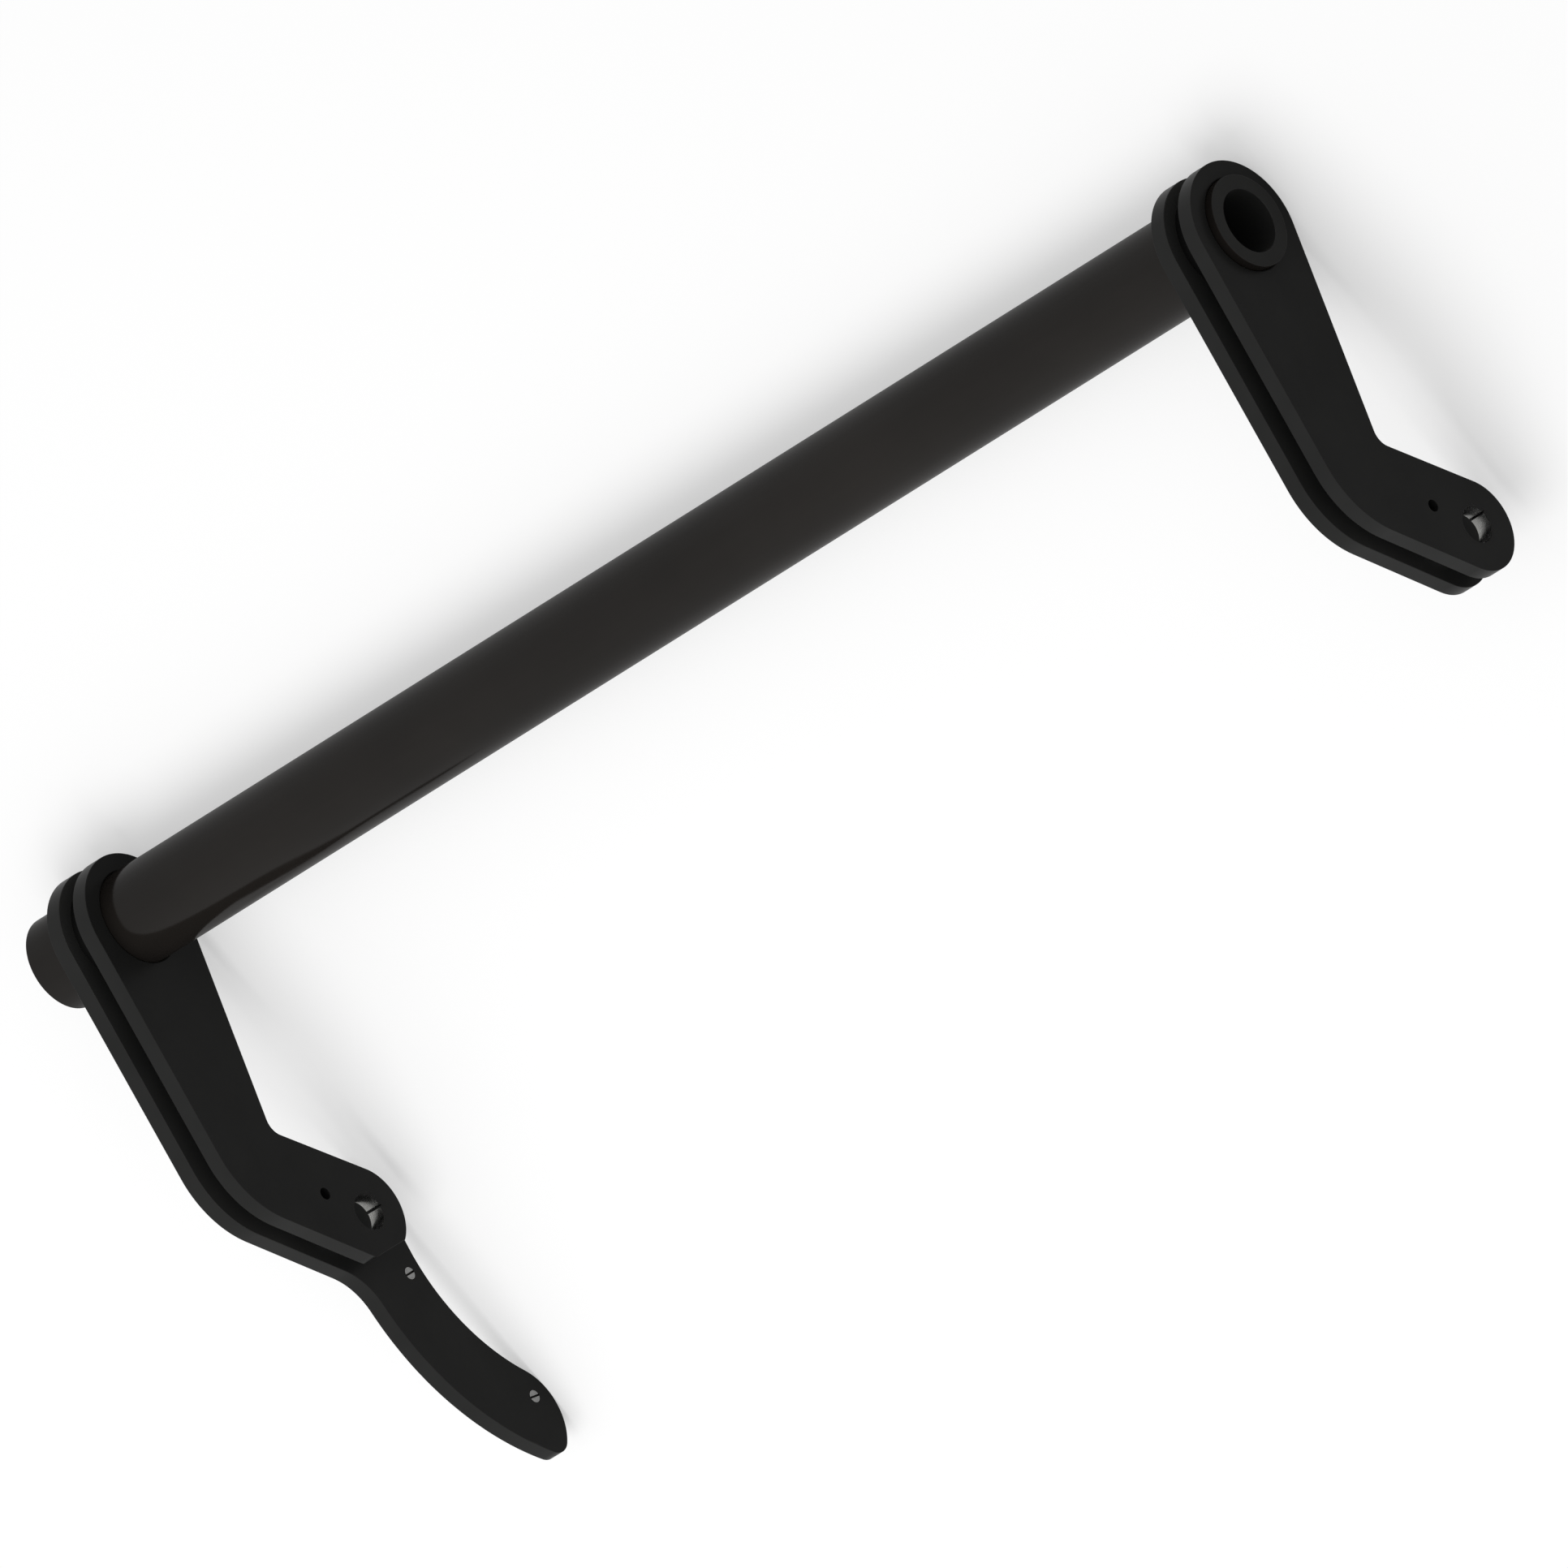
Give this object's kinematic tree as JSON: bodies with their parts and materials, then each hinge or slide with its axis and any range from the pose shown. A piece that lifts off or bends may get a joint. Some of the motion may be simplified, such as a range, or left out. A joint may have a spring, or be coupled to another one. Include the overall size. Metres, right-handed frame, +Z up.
{
  "type": "sway bar",
  "caption": "Black straight hollow torsion tube with a cranked twin-plate arm near each end; one arm carries a curved blade.",
  "frame": {"origin": "on the tube's axis at half the tube's length", "axes": "+X along the tube towards the right arm, +Z up with the bar lying on a floor on both bosses and the blade's tip, the arms reaching towards -Y"},
  "size_m": [0.9006, 0.3911, 0.1098],
  "materials": {
    "tube_black": "satin black powder coat",
    "plate_black": "satin black powder coat",
    "bush_steel": "bare steel bore, black on its ends",
    "bright_steel": "bright zinc",
    "dull_steel": "dull zinc"
  },
  "bodies": {
    "tube": {"torsion_tube": "tube_black"},
    "left_arm": {"left_outer_plate": "plate_black", "left_inner_plate": "plate_black", "left_spacer": "plate_black", "left_outer_bush": "bush_steel", "left_inner_bush": "bush_steel", "backing_strap": "dull_steel", "root_screw": "bright_steel", "tip_screw": "bright_steel", "root_washer": "dull_steel", "tip_washer": "dull_steel", "root_nut": "dull_steel", "tip_nut": "dull_steel"},
    "right_arm": {"right_inner_plate": "plate_black", "right_outer_plate": "plate_black", "right_spacer": "plate_black", "right_inner_bush": "bush_steel", "right_outer_bush": "bush_steel"}
  },
  "joints": [
    {"name": "left_twist", "type": "hinge", "parent": "tube", "child": "left_arm", "pos_m": [-0.40755, 0, 0], "axis": [1, 0, 0], "range_deg": [-7, 7], "stiffness_Nm_per_rad": 2000},
    {"name": "right_twist", "type": "hinge", "parent": "tube", "child": "right_arm", "pos_m": [0.43095, 0, 0], "axis": [1, 0, 0], "range_deg": [-7, 7], "stiffness_Nm_per_rad": 2000}
  ],
  "couplings": [
    {"joint": "right_twist", "follows": "left_twist", "ratio": -1}
  ]
}
